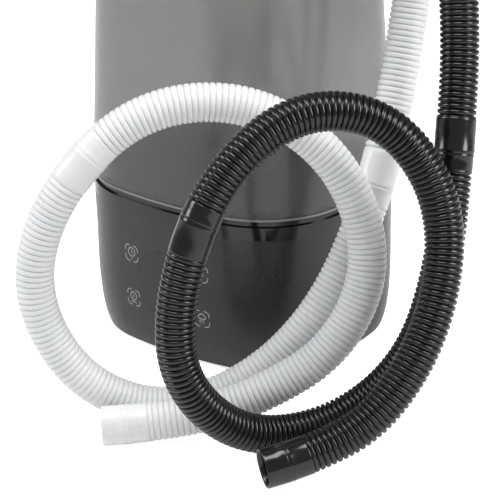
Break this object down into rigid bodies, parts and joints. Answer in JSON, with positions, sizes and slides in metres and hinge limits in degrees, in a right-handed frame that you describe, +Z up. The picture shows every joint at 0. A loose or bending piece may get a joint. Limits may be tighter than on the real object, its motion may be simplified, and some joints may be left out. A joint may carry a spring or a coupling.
{
  "type": "mist humidifier",
  "caption": "Upright mist humidifier with a smoky water tank on a touch-control base and corrugated mist hoses lying in loops.",
  "frame": {"origin": "on the floor under the middle of the base", "axes": "+Z up, front with the touch keys faces -Y, +X is the side the hoses leave by"},
  "size_m": [0.4073, 0.373, 0.5156],
  "materials": {
    "base_plastic": "semi-gloss black",
    "trim_plastic": "high gloss black",
    "window": "smooth dark window",
    "inner_plastic": "moulded",
    "rubber": "matte",
    "steel": "plain",
    "circuit_board": "laminate",
    "aluminium": "extruded",
    "pale_plastic": "moulded",
    "tank_plastic": "smoky translucent",
    "pale_hose": "milky translucent",
    "black_hose": "glossy"
  },
  "bodies": {
    "base": {"base_shell": "base_plastic", "base_trim_ring": "trim_plastic", "display_lens": "window", "bottom_cover": "inner_plastic", "rubber_feet": "rubber", "bottom_screws": "steel", "screw_bosses": "inner_plastic", "basin": "inner_plastic", "transducer_ring": "inner_plastic", "transducer_disc": "steel", "transducer_seal": "rubber", "driver_board": "circuit_board", "heat_sink": "aluminium", "power_board": "circuit_board", "power_inlet": "inner_plastic", "fan_housing": "inner_plastic", "fan_motor": "steel", "air_duct": "inner_plastic", "display_board": "circuit_board", "touch_springs": "steel", "float_cap": "pale_plastic", "level_sensor": "inner_plastic"},
    "fan": {"fan_rotor": "inner_plastic"},
    "float": {"float_ring": "pale_plastic", "float_magnet": "steel"},
    "tank": {"tank_shell": "tank_plastic", "tank_lower_rim": "tank_plastic", "tank_floor": "base_plastic", "mist_chimney": "tank_plastic", "valve_body": "inner_plastic"},
    "valve": {"valve_plunger": "pale_plastic", "valve_washer": "rubber"},
    "lid": {"lid_shell": "base_plastic", "lid_seal": "rubber", "mist_manifold": "inner_plastic", "front_elbow": "trim_plastic", "rear_elbow": "trim_plastic", "front_outlet_seal": "rubber", "rear_outlet_seal": "rubber", "pale_hose_outlet_cuff": "pale_hose", "pale_hose_upper_tube": "pale_hose", "pale_hose_upper_joint": "pale_hose", "pale_hose_middle_tube": "pale_hose", "pale_hose_lower_joint": "pale_hose", "pale_hose_lower_tube": "pale_hose", "pale_hose_end_cuff": "pale_hose", "black_hose_outlet_cuff": "black_hose", "black_hose_upper_tube": "black_hose", "black_hose_upper_joint": "black_hose", "black_hose_middle_tube": "black_hose", "black_hose_lower_joint": "black_hose", "black_hose_lower_tube": "black_hose", "black_hose_end_cuff": "black_hose"}
  },
  "joints": [
    {"name": "tank_lift", "type": "slide", "parent": "base", "child": "tank", "axis": [0, 0, 1], "range_m": [0, 0.1]},
    {"name": "lid_lift", "type": "slide", "parent": "tank", "child": "lid", "axis": [0, 0, 1], "range_m": [0, 0.06]},
    {"name": "valve_drop", "type": "slide", "parent": "tank", "child": "valve", "axis": [0, 0, 1], "range_m": [-0.004, 0]},
    {"name": "float_rise", "type": "slide", "parent": "base", "child": "float", "axis": [0, 0, 1], "range_m": [0, 0.011]},
    {"name": "fan_spin", "type": "hinge", "parent": "base", "child": "fan", "pos_m": [-0.04, 0.046, 0.025], "axis": [0, 0, 1], "continuous": true}
  ],
  "couplings": [
    {"joint": "valve_drop", "follows": "tank_lift", "ratio": -0.04}
  ]
}
